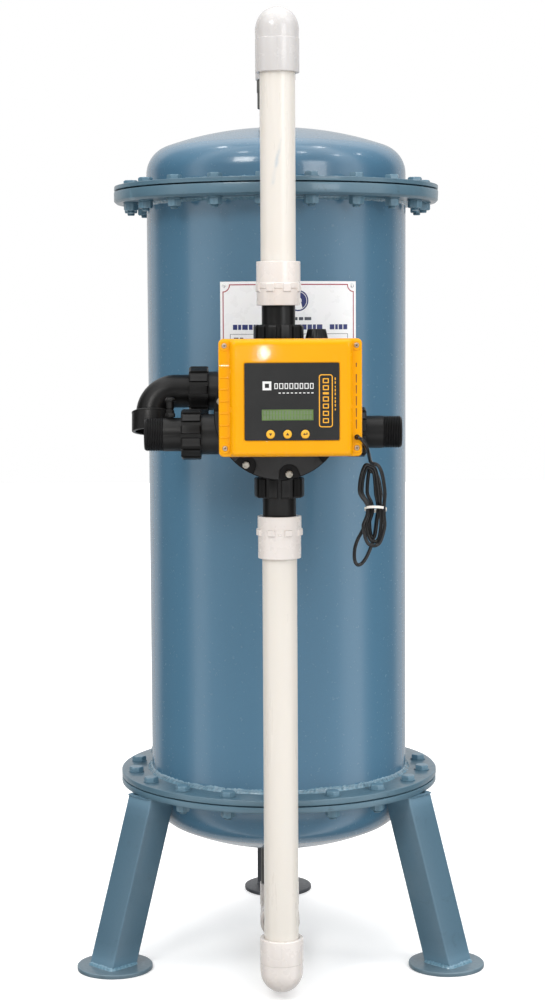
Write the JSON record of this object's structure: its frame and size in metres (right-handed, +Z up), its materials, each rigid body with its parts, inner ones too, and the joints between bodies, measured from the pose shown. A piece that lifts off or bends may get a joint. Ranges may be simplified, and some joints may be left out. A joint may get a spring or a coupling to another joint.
{
  "type": "water softener",
  "caption": "Automatic water softener: flanged blue steel vessel on splayed legs, side-mounted motorised multiport valve with yellow controller, white pipework and tied cable.",
  "frame": {"origin": "on the floor, at the centre of the footprint of the whole unit; the vessel's vertical axis is 31.6 mm behind it, at y = +0.0316", "axes": "+Z up along the vessel, -Y towards the front where the valve and controller are, +X to the right seen from the front, towards the outlet"},
  "size_m": [0.6022, 0.7412, 1.3758],
  "materials": {
    "blue_enamel": "glossy blue-grey enamel paint over steel, a little uneven at welds and edges",
    "dark_paint": "dark grey paint, dull and a little dusty",
    "gasket_rubber": "matt black sheet rubber",
    "zinc_steel": "bright zinc-plated steel",
    "white_plate": "white enamelled sheet with printed maroon border, navy marks and ruled table",
    "white_acetal": "off-white engineering plastic",
    "resin_beads": "amber ion-exchange beads",
    "grey_fitting": "dark grey painted malleable iron",
    "white_upvc": "smooth off-white uPVC with a soft gloss",
    "cable_tie_nylon": "white nylon",
    "black_plastic": "moulded glass-filled black plastic with a satin sheen",
    "yellow_cover": "moulded yellow-orange plastic, glossy",
    "yellow_button": "yellow rubberised key caps",
    "dark_panel": "dark grey printed film, satin",
    "lcd": "green liquid-crystal display under a clear window in a black frame",
    "circuit_board": "green solder mask",
    "motor_steel": "plain zinc-plated can",
    "cable_sheath": "black flexible sheath"
  },
  "bodies": {
    "vessel": {"bottom_adapter": "grey_fitting", "bottom_cross_pipe": "white_upvc", "bottom_flange_bolts": "blue_enamel", "bottom_front_elbow": "white_upvc", "bottom_gasket": "gasket_rubber", "bottom_head": "blue_enamel", "bottom_rear_elbow": "white_upvc", "bottom_strainer": "white_acetal", "bottom_tail": "black_plastic", "bottom_union_nut": "black_plastic", "brine_connector": "black_plastic", "cable_tie": "cable_tie_nylon", "circuit_board": "circuit_board", "controller_base": "black_plastic", "controller_lid": "yellow_cover", "cover_bolts": "zinc_steel", "drain_elbow": "black_plastic", "drain_union_nut": "black_plastic", "foot_front_left": "blue_enamel", "foot_front_right": "blue_enamel", "foot_rear": "dark_paint", "front_panel": "dark_panel", "gearmotor": "motor_steel", "inlet_tail": "black_plastic", "inlet_union_nut": "black_plastic", "lcd_module": "lcd", "leg_front_left": "blue_enamel", "leg_front_right": "blue_enamel", "leg_rear": "dark_paint", "lid_screws": "zinc_steel", "lower_adapter": "white_upvc", "lower_pipe": "white_upvc", "outlet_tail": "black_plastic", "outlet_union_nut": "black_plastic", "power_cable": "cable_sheath", "rating_plate": "white_plate", "resin_bed": "resin_beads", "shell": "blue_enamel", "stator_disc": "white_acetal", "top_adapter": "grey_fitting", "top_cross_pipe": "white_upvc", "top_flange_bolts": "blue_enamel", "top_front_elbow": "white_upvc", "top_gasket": "gasket_rubber", "top_head": "blue_enamel", "top_rear_elbow": "white_upvc", "top_strainer": "white_acetal", "top_tail": "black_plastic", "top_union_nut": "black_plastic", "upper_adapter": "white_upvc", "upper_pipe": "white_upvc", "valve_body": "black_plastic", "valve_cover": "black_plastic"},
    "rotor": {"rotor": "white_acetal", "drive_gear": "white_acetal"},
    "pinion": {"motor_pinion": "white_acetal"},
    "injector_cap": {"injector_cap": "black_plastic"},
    "key_down": {"button_down": "yellow_button"},
    "key_up": {"button_up": "yellow_button"},
    "key_enter": {"button_enter": "yellow_button"}
  },
  "joints": [
    {"name": "rotor_turn", "type": "hinge", "parent": "vessel", "child": "rotor", "pos_m": [0, -0.3284, 0.826], "axis": [0, -1, 0], "continuous": true},
    {"name": "pinion_spin", "type": "hinge", "parent": "vessel", "child": "pinion", "pos_m": [0.0403, -0.3284, 0.826], "axis": [0, -1, 0], "continuous": true},
    {"name": "injector_cap_turn", "type": "hinge", "parent": "vessel", "child": "injector_cap", "pos_m": [0.0522, -0.2534, 0.925], "axis": [0, 0, 1], "range_deg": [0, 270]},
    {"name": "button_down_press", "type": "slide", "parent": "vessel", "child": "key_down", "axis": [0, 1, 0], "range_m": [0, 0.0008]},
    {"name": "button_up_press", "type": "slide", "parent": "vessel", "child": "key_up", "axis": [0, 1, 0], "range_m": [0, 0.0008]},
    {"name": "button_enter_press", "type": "slide", "parent": "vessel", "child": "key_enter", "axis": [0, 1, 0], "range_m": [0, 0.0008]}
  ],
  "couplings": [
    {"joint": "pinion_spin", "follows": "rotor_turn", "ratio": -3}
  ]
}
